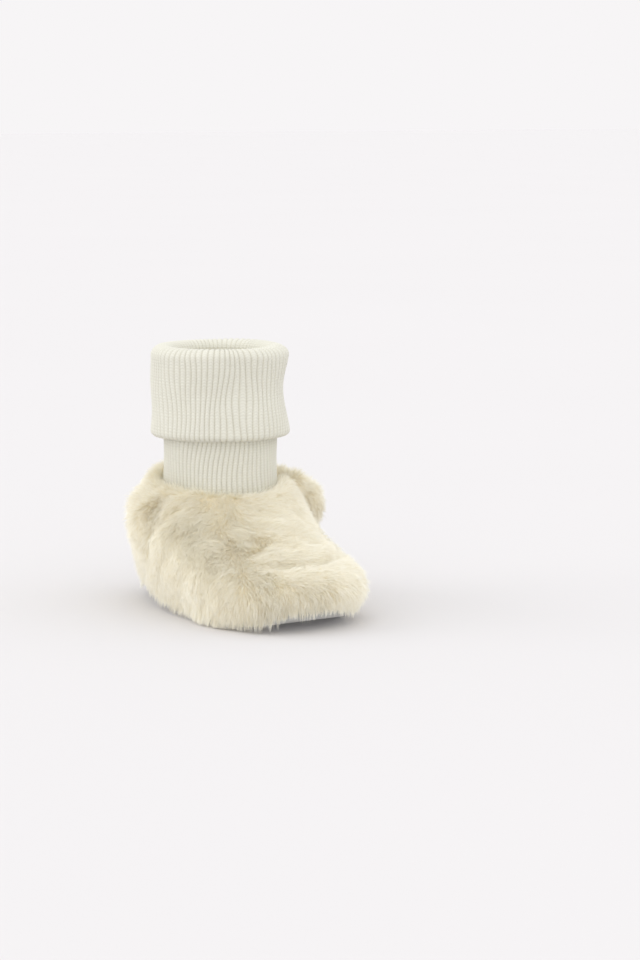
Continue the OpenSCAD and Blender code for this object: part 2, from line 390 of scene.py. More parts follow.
def grid_faces(columns, rows, around, closed):
    """Quads of a grid whose point i, j has the number i * rows + j, with their map places."""
    across = columns if around else columns - 1
    up = rows if closed else rows - 1
    i, j = np.meshgrid(np.arange(across), np.arange(up), indexing="ij")
    i, j = i.ravel(), j.ravel()
    nexti, nextj = (i + 1) % columns, (j + 1) % rows
    faces = np.stack([i * rows + j, nexti * rows + j, nexti * rows + nextj, i * rows + nextj], 1)
    corners = np.stack([np.stack([i, j], 1), np.stack([i + 1, j], 1),
                        np.stack([i + 1, j + 1], 1), np.stack([i, j + 1], 1)], 1)
    return faces, corners / np.array([across, up])


def make_grid(name, points, material, around=False, closed=False):
    """A piece from a grid of points, which may run around and may be closed the other way."""
    columns, rows = points.shape[:2]
    faces, places = grid_faces(columns, rows, around, closed)
    return make_mesh(name, points.reshape(-1, 3), [faces], material, [places])


def smooth_step(low, high, value):
    share = np.clip((value - low) / (high - low), 0, 1)
    return share * share * (3 - 2 * share)


def hump(value, middle, width):
    return np.exp(-(((value - middle) / width) ** 2))


def mix(first, second, share):
    return first + (second - first) * share


def unit(vectors):
    return vectors / np.maximum(np.linalg.norm(vectors, axis=-1, keepdims=True), 1e-9)


def waves(points, size, seed):
    """Smooth noise between about -1 and 1, whose bumps are size millimetres apart."""
    count = 18
    draw = np.random.default_rng(seed)
    directions = unit(draw.normal(size=(count, 3))) * (FULL / size) * draw.uniform(0.6, 1.4, (count, 1))
    phases = draw.uniform(0, FULL, count)
    return np.sin(points @ directions.T + phases).sum(-1) / math.sqrt(count / 2) / 1.6


# ---- The bootie's form ----


def outline(a, inset=0.0):
    """The sole's outline at an angle from the toe: x and y from the bootie's middle."""
    power = 2 / SQUARENESS
    sine, cosine = np.sin(a), np.cos(a)
    x = (SOLE_WIDTH / 2 - inset) * np.sign(sine) * np.abs(sine) ** power * (1 + TOE_BREADTH * cosine)
    y = -(SOLE_LENGTH / 2 - inset) * np.sign(cosine) * np.abs(cosine) ** power
    return x, y + SOLE_Y


def ground(y):
    """Height of the sole's underside, which is lifted at the toe."""
    lifted = SPRING_LENGTH - SOLE_LENGTH / 2 - (y - SOLE_Y)
    return TOE_SPRING * np.clip(lifted / SPRING_LENGTH, 0, None) ** 2


def curl(a, inset):
    """How far the sole's edge turns up behind, which fades out towards its middle."""
    behind = smooth_step(math.radians(65), math.radians(125), from_toe(a))
    return 2.8 * behind * np.clip(1 - inset / 14, 0, 1) ** 2


def upper(a, s):
    """The upper's middle surface as it has settled: the soft vamp sinks and the heel panel's
    collar stands out at its front corners, both more on the right side than on the left."""
    side, right = from_toe(a), right_side(a)
    sunk = mix(0.6, 6.6, right) * hump(side, math.radians(56), math.radians(34)) * hump(s, 0.60, 0.26)
    behind = smooth_step(-math.radians(3), math.radians(8), side - seam_angle(s))
    corner = hump(side, seam_angle(s) + math.radians(10), math.radians(24)) * behind
    fading = 1 - 0.35 * smooth_step(0.8, 1.0, s)
    flare = mix(0.6, 8.2, right) * corner * smooth_step(0.12, 0.5, s) * fading
    outwards = np.stack([np.sin(a), -np.cos(a), 0 * a], -1)
    upwards = np.array([0, 0, 1.0])
    return pattern(a, s) + (flare - 0.7 * sunk)[..., None] * outwards - 0.7 * sunk[..., None] * upwards


def pattern(a, s):
    """The upper as it was cut: curves from the sole's edge up to the collar's ring."""
    toe = (1 + np.cos(a)) / 2
    x, y = outline(a)
    start = np.stack([x, y, ground(y) + RIM_HEIGHT + curl(a, 0)], -1)
    end = np.stack([COLLAR_REACH * np.sin(a), ANKLE_Y - COLLAR_REACH * np.cos(a),
                    COLLAR_FRONT + COLLAR_RISE * (1 - toe)], -1)

    def outwards(out, up):
        return np.stack([out * np.sin(a), -out * np.cos(a), up + 0 * a], -1)

    rise = mix((end[..., 2] - start[..., 2]) / 2, 10.5, toe ** 2)
    low = start + outwards(4.5, rise)
    high = end + outwards(mix(4.5, 18, toe ** 2), -mix(12, 19.5, toe ** 2))
    s = s[..., None]
    return (1 - s) ** 3 * start + 3 * s * (1 - s) ** 2 * low + 3 * s ** 2 * (1 - s) * high + s ** 3 * end


def seam_angle(s):
    return mix(SEAM_AT_SOLE, SEAM_AT_COLLAR, np.minimum(s, 1) ** 2)


def signed_angle(a):
    """The angle from the toe, from minus half a turn on the left to half a turn on the right."""
    return (a + math.pi) % FULL - math.pi


def from_toe(a):
    """The angle from the toe on either side, from 0 to half a turn."""
    return np.abs(signed_angle(a))


def right_side(a):
    """0 on the bootie's left side and 1 on its right, with a soft change at the toe and heel."""
    return smooth_step(-0.4, 0.4, np.sin(a))


def padding(a, s):
    """How far the plush backing stands off the middle surface: puffs, the toe's crease and rolls."""
    side = from_toe(a)
    spot = upper(a, s)
    toe = hump(side, 0, math.radians(58))
    crease_s = 0.40 + 0.03 * np.sin(3 * side) + 0.02 * waves(spot, 30, 5)
    toe_roll = 1.7 * hump(s, 0.2, 0.14) * toe
    bend = hump(signed_angle(a), math.radians(12), math.radians(34))
    crease = -1.9 * hump(s, crease_s, 0.045) * bend
    brow = 0.9 * hump(s, crease_s + 0.14, 0.09) * bend
    back = smooth_step(0, math.radians(9), side - seam_angle(s))
    fullness = 0.6 + 2.0 * hump(side, math.radians(94), math.radians(24))
    collar_roll = back * fullness * hump(s, 0.80, 0.17)
    dip = mix(0.35, 0.9, right_side(a))
    seam = -dip * hump(side, seam_angle(s), math.radians(4.5)) * smooth_step(0.1, 0.4, s)
    lumps = 0.55 * waves(spot, 22, 11) + 0.2 * waves(spot, 9, 12)
    even = 0.9 + 0.9 * np.sin(math.pi * np.minimum(s, 1))
    return even + toe_roll + crease + brow + collar_roll + seam + lumps


def sagging(a, s):
    """How far the heel panel's collar sags at its sides."""
    drop = mix(3.3, 1.4, right_side(a))
    return drop * hump(from_toe(a), math.radians(105), math.radians(38)) * smooth_step(0.5, 1.0, s)


SKIN_COLUMNS, SKIN_ROWS = 512, 104
ROLL_ROWS = 12
SKIN_TOP = 1 + ROLL_ROWS / (SKIN_ROWS - ROLL_ROWS - 1)
ROLL_RADIUS = 1.9


def skin_points():
    """The plush backing's outer side, all around, from the sole's edge up and over the collar's roll."""
    rows = SKIN_ROWS - ROLL_ROWS
    a = np.linspace(0, FULL, SKIN_COLUMNS, endpoint=False)[:, None] + np.zeros(rows)
    s = np.linspace(0, 1, rows) + np.zeros((SKIN_COLUMNS, 1))
    base = upper(a, s)
    points = base + facings(base) * padding(a, s)[..., None]
    points[..., 2] -= sagging(a, s)
    edge, out = points[:, -1], facings(points)[:, -1]
    up = slopes(points)[1][:, -1]
    rolled = []
    for turn in np.linspace(0, math.radians(165), ROLL_ROWS + 1)[1:]:
        rolled.append(edge + ROLL_RADIUS * (up * math.sin(turn) - out * (1 - math.cos(turn))))
    return np.concatenate([points, np.stack(rolled, 1)], 1)


def slopes(points):
    """The directions of a ring of columns at each point: around it, and up it."""
    around = unit(np.roll(points, -1, 0) - np.roll(points, 1, 0))
    up = unit(np.gradient(points, axis=1))
    return around, up


def facings(points):
    around, up = slopes(points)
    return unit(np.cross(around, up))


SKIN = skin_points()
SKIN_AROUND, SKIN_UP = slopes(SKIN)
SKIN_FACING = facings(SKIN)


def sample(field, a, s):
    """A field over the skin, read between its grid points."""
    column = (a / FULL * SKIN_COLUMNS) % SKIN_COLUMNS
    row = np.clip(s / SKIN_TOP, 0, 1) * (SKIN_ROWS - 1)
    i, j = column.astype(int) % SKIN_COLUMNS, np.minimum(row.astype(int), SKIN_ROWS - 2)
    u, v = (column - np.floor(column))[:, None], (row - j)[:, None]
    nexti = (i + 1) % SKIN_COLUMNS
    return mix(mix(field[i, j], field[nexti, j], u), mix(field[i, j + 1], field[nexti, j + 1], u), v)


# ---- Plush ----

STRANDS_PER_PIECE = 12000
VAMP_STRANDS, QUARTER_STRANDS = 108000, 84000
TUFT_GAP = 1.9
UNDERFUR = 0.5
FIBRE_RADIUS = 0.086
STRAND_STEPS = (0.0, 0.38, 0.74)
ROOT_DEPTH = 0.9
NEAR_FLOOR = 3


def scatter(count, low, high, seed):
    """Random places, even over the skin's area, between two angles at each height."""
    draw = np.random.default_rng(seed)
    steps = np.linalg.norm(np.roll(SKIN, -1, 0) - SKIN, axis=-1)[:, :-1]
    heights = np.linalg.norm(np.diff(SKIN, axis=1), axis=-1)
    area = (steps * heights).ravel()
    found_a, found_s = np.empty(0), np.empty(0)
    while len(found_a) < count:
        cell = draw.choice(len(area), size=count * 2, p=area / area.sum())
        i, j = np.divmod(cell, SKIN_ROWS - 1)
        a = (i + draw.uniform(size=len(i))) / SKIN_COLUMNS * FULL
        s = (j + draw.uniform(size=len(j))) / (SKIN_ROWS - 1) * SKIN_TOP
        if low(0.0) < 0:
            a = np.where(a > math.pi, a - FULL, a)
        keep = (a > low(s)) & (a < high(s))
        found_a, found_s = np.append(found_a, a[keep]), np.append(found_s, s[keep])
    return found_a[:count], found_s[:count]


def combing(a, s, spot):
    """Each place's direction of the nap, how steeply it stands up and how long it is."""
    down, around = -sample(SKIN_UP, a, s), sample(SKIN_AROUND, a, s)
    facing = sample(SKIN_FACING, a, s)
    swirl = 0.20 * waves(spot, 30, 31) + 0.06 * waves(spot, 9, 32)
    signed = signed_angle(a)
    middle_line = math.radians(-26) + math.radians(14) * waves(spot, 13, 35)
    parting = np.clip((signed - middle_line) / math.radians(16), -1, 1) * hump(signed, 0, math.radians(75))
    swirl = swirl + 0.8 * parting * smooth_step(0.06, 0.3, s)
    sleek = hump(signed, math.radians(-24), math.radians(40)) * smooth_step(0.06, 0.3, s)
    flow = down * np.cos(swirl)[:, None] + around * np.sin(swirl)[:, None]
    hem = smooth_step(0.14, 0.0, s)
    side = from_toe(a)
    droop = hem * mix(1.0, 0.3, smooth_step(math.radians(75), math.radians(125), side))
    flow = unit(flow + droop[:, None] * np.array([0, 0, -1.0]) + 0.15 * hem[:, None] * facing)
    inside = smooth_step(1.04, SKIN_TOP, s)
    corner = hump(side, seam_angle(s) + math.radians(12), math.radians(30))
    ruff = corner * (a > 0) * smooth_step(0.25, 0.6, s)
    steepness = 1.0 + 0.1 * waves(spot, 12, 33) - 0.4 * droop + 0.45 * ruff - 0.15 * sleek
    tufted = hump(signed, math.radians(-62), math.radians(40))
    length = 6.1 + 0.5 * waves(spot, 10, 34) + hem * (4.2 * tufted - 2.4)
    length = length - 1.3 * smooth_step(0.8, 1.0, s) - 1.3 * inside
    return flow, facing, steepness, length


def strand_curve(root, flow, facing, steepness, length, t):
    """A point of each strand: it stands up from the backing and bends over along the nap."""
    rise = steepness * (1.08 * t - 0.46 * t ** 2)
    run = (0.15 * t + 0.52 * t ** 2) * np.clip(1.6 - 0.6 * steepness, 0.3, 1.3)
    return root + length[:, None] * (facing * rise[:, None] + flow * run[:, None])


def plush(name, count, low, high, seed):
    """The strands of one panel, gathered into tufts and made up in pieces of a fair size."""
    draw = np.random.default_rng(seed)
    a, s = scatter(count, low, high, seed + 1)
    order = np.argsort(a)
    a, s = a[order], s[order]
    root = sample(SKIN, a, s) - ROOT_DEPTH * sample(SKIN_FACING, a, s)
    tufts = int(count * 0.17 / TUFT_GAP ** 2 * 1.6)
    tuft_a, tuft_s = scatter(tufts, low, high, seed + 2)
    tuft_root = sample(SKIN, tuft_a, tuft_s)
    tree = kdtree.KDTree(tufts)
    for number, spot in enumerate(tuft_root):
        tree.insert(spot, number)
    tree.balance()
    nearest = np.array([tree.find(spot)[1] for spot in root])

    tuft_turn = draw.normal(0, 0.08, tufts)
    tuft_hem = smooth_step(0.12, 0.02, tuft_s)
    tuft_length = draw.uniform(0.9, 1.1, tufts) + tuft_hem * draw.uniform(-0.2, 0.45, tufts)
    tuft_pull = mix(draw.uniform(0.05, 0.4, tufts), 0.8, tuft_hem)
    tuft_shade = draw.uniform(0, 1, tufts)

    flow, facing, steepness, length = combing(a, s, root)
    side = np.cross(facing, flow)
    turn = (tuft_turn[nearest] + draw.normal(0, 0.28, count))[:, None]
    own_flow = unit(flow * np.cos(turn) + side * np.sin(turn) + facing * draw.normal(0, 0.06, (count, 1)))
    own_steep = np.clip(steepness * draw.normal(1, 0.2, count), 0.2, 2.0)
    own_length = length * tuft_length[nearest] * draw.uniform(0.72, 1.12, count)

    guide_flow, guide_facing, guide_steep, guide_length = combing(tuft_a, tuft_s, tuft_root)
    guide_side = np.cross(guide_facing, guide_flow)
    guide_flow = unit(guide_flow * np.cos(tuft_turn)[:, None] + guide_side * np.sin(tuft_turn)[:, None])

    def centre_line(t):
        t_all = np.full(count, t)
        own = strand_curve(root, own_flow, facing, own_steep, own_length, t_all)
        guide = strand_curve(tuft_root[nearest], guide_flow[nearest], guide_facing[nearest],
                             guide_steep[nearest], own_length, t_all)
        gather = (tuft_pull[nearest] * t ** 1.3)[:, None]
        point = mix(own, guide + 0.25 * (root - tuft_root[nearest]), gather)
        lowest = 0.35 + 0.3 * (1 - t)
        height = point[:, 2]
        lifted = lowest + np.logaddexp(0, (height - lowest) * 2) / 2
        point[:, 2] = np.where(height < NEAR_FLOOR, lifted, height)
        return point

    rings = [centre_line(t) for t in STRAND_STEPS]
    tip = centre_line(1.0)
    heading = unit(tip - rings[1])
    across = unit(np.cross(heading, facing))
    lift = np.cross(heading, across)
    points = []
    thickness = FIBRE_RADIUS * draw.uniform(0.7, 1.25, count)[:, None]
    for t, ring in zip(STRAND_STEPS, rings):
        for corner in range(3):
            angle = FULL * corner / 3 + 0.5
            spoke = across * math.cos(angle) + lift * math.sin(angle)
            points.append(ring + spoke * thickness * (1 - 0.72 * t ** 1.5))
    points.append(tip)
    points = np.stack(points, 1)
    shade = 0.60 + 0.12 * waves(root, 15, 77) + 0.2 * (tuft_shade[nearest] - 0.5)
    shade = shade + draw.normal(0, 0.32, count)
    shade = shade + 0.2 * smooth_step(0.4, 0.05, s) - 0.05 * hump(s, 0.75, 0.2)
    shade = np.clip(shade, 0.02, 0.98)
    for part, start in enumerate(range(0, count, STRANDS_PER_PIECE)):
        chosen = slice(start, start + STRANDS_PER_PIECE)
        strand_piece(f"{name}_{part + 1}", points[chosen], shade[chosen])


def strand_piece(name, points, shade):
    """Closed tapering strands with three sides, from their points: three rings and a tip."""
    count = len(points)
    quads, triangles, quad_t, triangle_t = [], [[2, 1, 0]], [], [[0, 0, 0]]
    for ring in range(2):
        for corner in range(3):
            other = (corner + 1) % 3
            quads.append([3 * ring + corner, 3 * ring + other, 3 * ring + 3 + other, 3 * ring + 3 + corner])
            quad_t.append([STRAND_STEPS[ring]] * 2 + [STRAND_STEPS[ring + 1]] * 2)
    for corner in range(3):
        triangles.append([6 + corner, 6 + (corner + 1) % 3, 9])
        triangle_t.append([STRAND_STEPS[2], STRAND_STEPS[2], 1.0])
    base = np.arange(count)[:, None, None] * 10
    faces, maps = [], []
    for corners, t in ((quads, quad_t), (triangles, triangle_t)):
        corners, t = np.array(corners), np.array(t)
        faces.append((base + corners).reshape(-1, corners.shape[1]))
        u = np.broadcast_to(shade[:, None, None], (count, *t.shape))
        v = np.broadcast_to(0.02 + 0.96 * t, (count, *t.shape))
        maps.append(np.stack([u, v], -1).reshape(-1, corners.shape[1], 2))
    piece = make_mesh(name, points.reshape(-1, 3), faces, FIBRES, maps, smooth=False)
    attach(piece, "shell")


def backing(name, node, low, high, columns, rows=64):
    """The closed backing of a plush panel, with its collar edge rolled inwards."""
    v = np.linspace(0, SKIN_TOP, rows)
    a = np.stack([mix(low(v), high(v), share) for share in np.linspace(0, 1, columns)])
    s = np.broadcast_to(v, a.shape)
    outer = sample(SKIN, a.ravel(), s.ravel()).reshape(columns, rows, 3)
    facing = sample(SKIN_FACING, a.ravel(), s.ravel()).reshape(columns, rows, 3)
    underfur = UNDERFUR * smooth_step(0.03, 0.16, s) * (1 - 0.7 * smooth_step(0.84, 1.0, s))
    clumps = 0.08 * waves(outer, 3.4, 3) + 0.08 * waves(outer, 6.5, 4)
    inner = (outer - facing * 1.1)[:, ::-1]
    outer = outer + facing * (underfur * (1 + clumps))[..., None]
    points = np.concatenate([outer, inner], 1)
    piece = make_grid(name, points, UNDERCOAT, closed=True)
    cap_ends(piece, columns, points.shape[1])
    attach(piece, "shell")
    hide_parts(node)


def cap_ends(piece, columns, rows):
    """Closes the two open sides of a looped grid."""
    mesh = piece.data
    fresh = [list(range(rows))[::-1], [(columns - 1) * rows + j for j in range(rows)]]
    work = bmesh.new()
    work.from_mesh(mesh)
    work.verts.ensure_lookup_table()
    layer = work.loops.layers.uv.active
    for loop in fresh:
        face = work.faces.new([work.verts[k] for k in loop])
        face.smooth = False
        for corner in face.loops:
            source = next(other for other in corner.vert.link_loops if other.face is not face)
            corner[layer].uv = source[layer].uv
    bmesh.ops.recalc_face_normals(work, faces=work.faces)
    work.to_mesh(mesh)
    work.free()


def vamp_low(s):
    return -seam_angle(s)


def quarter_high(s):
    return FULL - seam_angle(s)


backing("vamp_backing", "vamp_fur", vamp_low, seam_angle, 180)
backing("quarter_backing", "quarter_fur", seam_angle, quarter_high, 160)
plush("vamp_pile", VAMP_STRANDS, vamp_low, seam_angle, 100)
plush("quarter_pile", QUARTER_STRANDS, seam_angle, quarter_high, 200)


# ---- Rib knit ----

RIB_STEP = 8
STITCH = 1.35


def resampled(profile, spacing):
    """Points along a profile, which is a list of (r, z, spacing share) corners, at an even run."""
    profile = np.array(profile, float)
    runs = np.concatenate([[0], np.cumsum(np.hypot(*np.diff(profile[:, :2], axis=0).T))])
    weights = np.interp(np.linspace(0, runs[-1], 400), runs, profile[:, 2])
    travelled = np.concatenate([[0], np.cumsum((1 / weights)[:-1] * runs[-1] / 399)])
    count = int(travelled[-1] / spacing) + 1
    at = np.interp(np.linspace(0, travelled[-1], count), travelled, np.linspace(0, runs[-1], 400))
    return np.stack([np.interp(at, runs, profile[:, k]) for k in (0, 1)], 1), at


def arc(r, z, radius_r, radius_z, start, end, steps=9):
    """Corners of a profile around an arc, in degrees from straight outwards."""
    angles = np.radians(np.linspace(start, end, steps))
    return [(r + radius_r * math.cos(t), z + radius_z * math.sin(t), 1.0) for t in angles]


def rib_height(a, ribs):
    """Round ridges with narrow grooves, from 0 in the groove to 1 on the ridge."""
    return np.abs(np.sin(a * ribs / 2)) ** 0.55


def ribbed(name, profile, spacing, material, depth, shape, ribs=RIBS, step=RIB_STEP):
    """A knitted tube from a closed profile. depth(outwards) is the ribs' depth where the tube
    faces outwards that much, and shape(a, r, z) bends the round tube into its real form."""
    line, run = resampled(profile, spacing)
    line, run = line[:-1], run[:-1]
    a = np.linspace(0, FULL, ribs * step, endpoint=False)[:, None] + np.zeros(len(line))
    r, z = np.broadcast_to(line[:, 0], a.shape), np.broadcast_to(line[:, 1], a.shape)
    ahead = np.roll(line, -1, 0) - np.roll(line, 1, 0)
    normal = np.stack([ahead[:, 1], -ahead[:, 0]], 1)
    normal /= np.linalg.norm(normal, axis=1, keepdims=True)
    amount = depth(normal[:, 0])
    ridge = rib_height(a, ribs)
    stitch = 0.10 * np.cos(run / STITCH * FULL + 2.2 * np.abs(np.sin(a * ribs / 2))) * ridge
    push = amount * (ridge - 1 + stitch)
    r, z = r + push * normal[:, 0], z + push * normal[:, 1]
    a, r, z = shape(a, r, z)
    points = np.stack([r * np.sin(a), ANKLE_Y - r * np.cos(a), z], -1)
    return make_grid(name, points, material, around=True, closed=True)


def cuff_shape(a, r, z):
    """The cuff flares at its two ends, more on one side, and its ribs waver."""
    height = (z - CUFF_LOW[2]) / (CUFF_HIGH[2] - CUFF_LOW[2])
    outer = smooth_step(TUBE_R, CUFF_R - 1, r)
    spot = np.stack([26 * np.sin(a), 26 * np.cos(a), z], -1)
    lean = 0.5 + 0.5 * np.cos(a - math.radians(58))
    waist = -(0.5 + 1.5 * lean) * np.sin(math.pi * np.clip(height * 0.95, 0, 1)) ** 2 * outer
    waver = 0.5 * waves(spot, 38, 41) + 0.22 * waves(spot, 14, 42)
    soft = 0.4 * waves(spot, 24, 43) * outer
    dip = 0.8 * waves(spot * [1, 1, 0], 40, 44)
    angle = a + waver * 2.2 / 26
    return angle, r + waist + soft, z + dip * outer * (0.4 + 0.6 * height)


def ankle_shape(a, r, z):
    spot = np.stack([22 * np.sin(a), 22 * np.cos(a), z], -1)
    return a + 0.9 * waves(spot, 30, 51) / 22, r + 0.25 * waves(spot, 20, 52), z


def make_cuff():
    top, bottom = CUFF_HIGH[2], CUFF_LOW[2]
    under = TUBE_R + 0.5
    reach = CUFF_R + 0.9
    fold_r, fold = (reach + under) / 2, (reach - under) / 2
    lip_r, lip = (reach + LIP_R) / 2, (reach - LIP_R) / 2
    profile = [(under, bottom + 3, 3.0)]
    profile += arc(fold_r, bottom + 2.3, fold, 2.3, 180, 360)
    profile += [(reach, top - 8, 1.0)]
    profile += arc(lip_r, top - 3.9, lip, 3.9, 0, 180, 17)
    profile += [(LIP_R + 0.3, top - 6, 1.0), (INNER_R - 0.8, top - 10, 1.0), (INNER_R - 0.6, top - 13, 2.0),
                (INNER_R - 0.1, top - 12, 4.0), (INNER_R - 0.1, top - 3.4, 4.0), (under, top - 5, 4.0)]
    profile += [(under, bottom + 3, 4.0)]

    def depth(outwards):
        return 0.42 * smooth_step(-1.0, 0.2, outwards) + 0.1

    piece = ribbed("cuff_knit", profile, 0.37, RIB_KNIT, depth, cuff_shape)
    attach(piece, "cuff")
    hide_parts("cuff_face", "cuff_under")


def make_ankle():
    low, high = TUBE_LOW[2] + 0.5, TUBE_HIGH[2] - 4.6
    profile = [(TUBE_R - 0.9, low, 1.0), (TUBE_R, low, 1.0), (TUBE_R, high, 1.0),
               (TUBE_R - 0.9, high, 4.0), (TUBE_R - 0.9, low, 4.0)]

    def depth(outwards):
        return np.where(outwards > 0, 0.5, 0.1)

    piece = ribbed("ankle_knit", profile, 0.42, RIB_KNIT, depth, ankle_shape)
    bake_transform(piece)
    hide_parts("ankle_rib_outer")


def make_inside():
    """The inner ply in two parts, lower and upper, both following the ankle's bend."""
    middle = (INNER_LOW[2] + INNER_HIGH[2]) / 2
    parts = (("inside_knit_lower", INNER_LOW[2], middle),
             ("inside_knit_upper", middle, INNER_HIGH[2] - 1.2))
    made = []
    for name, low, high in parts:
        profile = [(INNER_R + 0.8, low, 3.0), (INNER_R + 0.8, high, 3.0), (INNER_R, high, 1.0),
                   (INNER_R, low, 1.0), (INNER_R + 0.8, low, 3.0)]

        def depth(outwards):
            return np.where(outwards < 0, 0.3, 0.05)

        piece = ribbed(name, profile, 0.6, INSIDE_KNIT, depth, ankle_shape, RIBS * 2, 4)
        made.append(piece)
    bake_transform(made[0])
    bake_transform(made[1])
    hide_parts("ankle_rib_inner")


make_cuff()
make_ankle()
make_inside()


# ---- Sole ----


def swept(name, profile, material, columns=240):
    """A piece with the sole's outline, from a profile of points. Each point has its inset from the
    edge, its height and its share of the way out from the sole's middle."""
    a = np.linspace(0, FULL, columns, endpoint=False)
    rings = []
    for inset, height, share in profile:
        x, y = outline(a, inset)
        x, y = x * share, (y - SOLE_Y) * share + SOLE_Y
        rings.append(np.stack([x, y, ground(y) + height + curl(a, inset + 25 * (1 - share))], -1))
    points = np.stack(rings, 1)
    rows = len(profile)
    faces, places = grid_faces(columns, rows, True, False)
    faces = faces[:, ::-1]
    places = places[:, ::-1]
    mid = np.array([[0, SOLE_Y, profile[0][1]], [0, SOLE_Y, profile[-1][1]]])
    i = np.arange(columns)
    following = (i + 1) % columns
    first = columns * rows
    low_fan = np.stack([i * rows, following * rows, np.full(columns, first)], 1)
    high_fan = np.stack([following * rows + rows - 1, i * rows + rows - 1, np.full(columns, first + 1)], 1)
    u, nextu = i / columns, (i + 1) / columns
    here, further = np.stack([u, 0 * u], 1), np.stack([nextu, 0 * u], 1)
    low_map = np.stack([here, further, here], 1)
    here, further = np.stack([u, 0 * u + 1], 1), np.stack([nextu, 0 * u + 1], 1)
    high_map = np.stack([further, here, here], 1)
    everything = np.concatenate([points.reshape(-1, 3), mid])
    return make_mesh(name, everything, [faces, np.concatenate([low_fan, high_fan])], material,
                     [places, np.concatenate([low_map, high_map])])


def make_sole():
    rim = RIM_HEIGHT
    shares = (0.15, 0.35, 0.55, 0.72, 0.86)
    profile = [(0, 0, share) for share in shares]
    profile += [(4, 0, 1), (2.4, 0.02, 1), (1.3, 0.25, 1), (0.5, 0.8, 1), (0.12, 1.6, 1), (-0.05, 2.6, 1),
                (-0.05, 3.6, 1), (0.0, rim - 0.6, 1), (0.2, rim - 0.15, 1), (0.6, rim, 1),
                (1.0, rim - 0.15, 1), (RIM_WALL, rim - 0.6, 1), (RIM_WALL, 2.0, 1), (1.7, 1.2, 1),
                (4, 1.2, 1)]
    profile += [(0, 1.2, share) for share in shares[::-1]]
    sole = swept("suede_sole", profile, SUEDE)
    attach(sole, "shell")
    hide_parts("outsole")

    padding_low, padding_high = 1.3, 4.3
    profile = [(RIM_WALL + 0.3, padding_low, share) for share in (0.2, 0.5, 0.75, 0.93)]
    profile += [(RIM_WALL + 0.9, padding_low, 1), (RIM_WALL + 0.3, 2.0, 1), (RIM_WALL + 0.2, 2.9, 1),
                (RIM_WALL + 0.5, 3.8, 1), (RIM_WALL + 1.5, padding_high, 1)]
    profile += [(RIM_WALL + 0.3, padding_high, share) for share in (0.9, 0.7, 0.45, 0.2)]
    wadding = swept("sole_wadding", profile, WADDING)
    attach(wadding, "shell")
    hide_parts("sole_padding")

    profile = [(2.6, 4.5, share) for share in (0.2, 0.5, 0.75, 0.93)]
    profile += [(3.0, 4.5, 1), (2.5, 4.9, 1), (2.6, 5.4, 1), (3.3, 5.65, 1)]
    profile += [(2.6, 5.65, share) for share in (0.93, 0.75, 0.5, 0.2)]
    footbed = swept("jersey_insole", profile, JERSEY)
    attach(footbed, "shell")
    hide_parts("insole")


make_sole()


# ---- Lining ----


def make_lining(name, node, low, high, columns):
    rows = 36
    v = np.linspace(0, 1, rows)
    a = np.stack([mix(low(v), high(v), share) for share in np.linspace(0, 1, columns)])
    s = np.broadcast_to(v, a.shape)
    base = upper(a, s)
    step = 0.004
    around = unit(upper(a + step, s) - upper(a - step, s))
    up = unit(upper(a, np.minimum(s + step, 1)) - upper(a, np.maximum(s - step, 0)))
    facing = unit(np.cross(around, up))
    soft = 0.12 * waves(base, 9, 61)[..., None]
    outer = base - facing * (0.4 - soft)
    inner = (base - facing * (1.45 - soft))[:, ::-1]
    piece = make_grid(name, np.concatenate([outer, inner], 1), JERSEY, closed=True)
    cap_ends(piece, columns, rows * 2)
    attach(piece, "shell")
    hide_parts(node)


make_lining("vamp_jersey", "vamp_lining", vamp_low, seam_angle, 120)
make_lining("quarter_jersey", "quarter_lining", seam_angle, quarter_high, 110)


# ---- Seams ----


def stitches(name, centres, headings, facings_out, length, radius, node, body="shell"):
    """A row of short round stitches, each arched over the cloth, as one piece."""
    steps, sides = 7, 8
    t = np.linspace(-1, 1, steps)
    girth = radius * np.sqrt(np.clip(1 - t ** 4, 0.06, 1))
    across = unit(np.cross(headings, facings_out))
    angle = FULL * np.arange(sides) / sides
    line = (centres[:, None] + headings[:, None] * (t * length / 2)[:, None]
            + facings_out[:, None] * (0.6 * radius * (1 - t ** 2))[:, None])
    spokes = (across[:, None, None] * np.cos(angle)[:, None]
              + facings_out[:, None, None] * np.sin(angle)[:, None])
    points = line[:, :, None] + spokes * girth[:, None, None]
    count = len(centres)
    quads, places = grid_faces(steps, sides, False, True)
    ends = np.array([list(range(sides)), [(steps - 1) * sides + k for k in range(sides)][::-1]])
    end_map = np.zeros((2, sides, 2)) + [[[0.5, 0.0]], [[0.5, 1.0]]]
    base = np.arange(count)[:, None, None] * steps * sides
    turned = places[..., ::-1]
    piece = make_mesh(name, points.reshape(-1, 3),
                      [(base + quads).reshape(-1, 4), (base + ends).reshape(-1, sides)], THREAD,
                      [np.broadcast_to(turned, (count, *turned.shape)).reshape(-1, 4, 2),
                       np.broadcast_to(end_map, (count, *end_map.shape)).reshape(-1, sides, 2)])
    if body:
        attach(piece, body)
    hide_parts(node)
    return piece


def even_angles(count):
    """Angles at equal distances along the sole's outline."""
    a = np.linspace(0, FULL, 2001)
    x, y = outline(a)
    run = np.concatenate([[0], np.cumsum(np.hypot(np.diff(x), np.diff(y)))])
    return np.interp(np.arange(count) / count * run[-1], run, a)


def make_sole_seam():
    a = even_angles(144)
    x, y = outline(a, -0.2)
    ahead_x, ahead_y = outline(a + 0.01, -0.2)
    centres = np.stack([x, y, ground(y) + RIM_HEIGHT + curl(a, 0) - 0.75], -1)
    headings = unit(np.stack([ahead_x - x, ahead_y - y, ground(ahead_y) - ground(y)], -1))
    out = unit(np.cross(headings, np.array([0, 0, 1.0])))
    stitches("sole_stitches", centres, headings, out, 1.35, 0.24, "sole_stitching")


